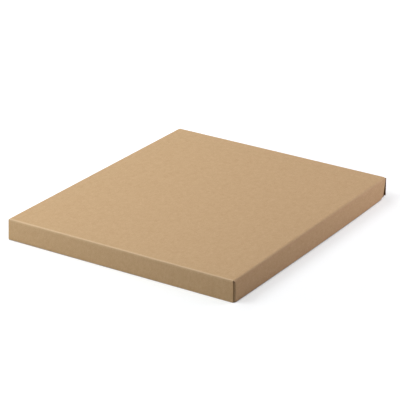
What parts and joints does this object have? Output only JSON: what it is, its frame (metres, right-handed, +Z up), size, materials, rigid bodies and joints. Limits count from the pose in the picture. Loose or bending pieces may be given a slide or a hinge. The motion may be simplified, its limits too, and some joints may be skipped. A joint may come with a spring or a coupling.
{
  "type": "presentation box",
  "caption": "Shallow kraft board presentation box with a hinged lid that closes over a tray, folded from one sheet.",
  "frame": {"origin": "middle of the footprint, on the surface that the closed box stands on", "axes": "+X along the front edge to the right, +Y from the front to the hinge, +Z up"},
  "size_m": [0.2346, 0.29, 0.02],
  "materials": {
    "kraft_outside": "matt, faintly mottled",
    "kraft_inside": "matt, faintly mottled"
  },
  "bodies": {
    "base": {"base_tray": "kraft_inside"},
    "lid": {"lid": "kraft_outside"}
  },
  "joints": [
    {"name": "lid_hinge", "type": "hinge", "parent": "base", "child": "lid", "pos_m": [0, 0.1447, 0.0197], "axis": [-1, 0, 0], "range_deg": [0, 180]}
  ]
}
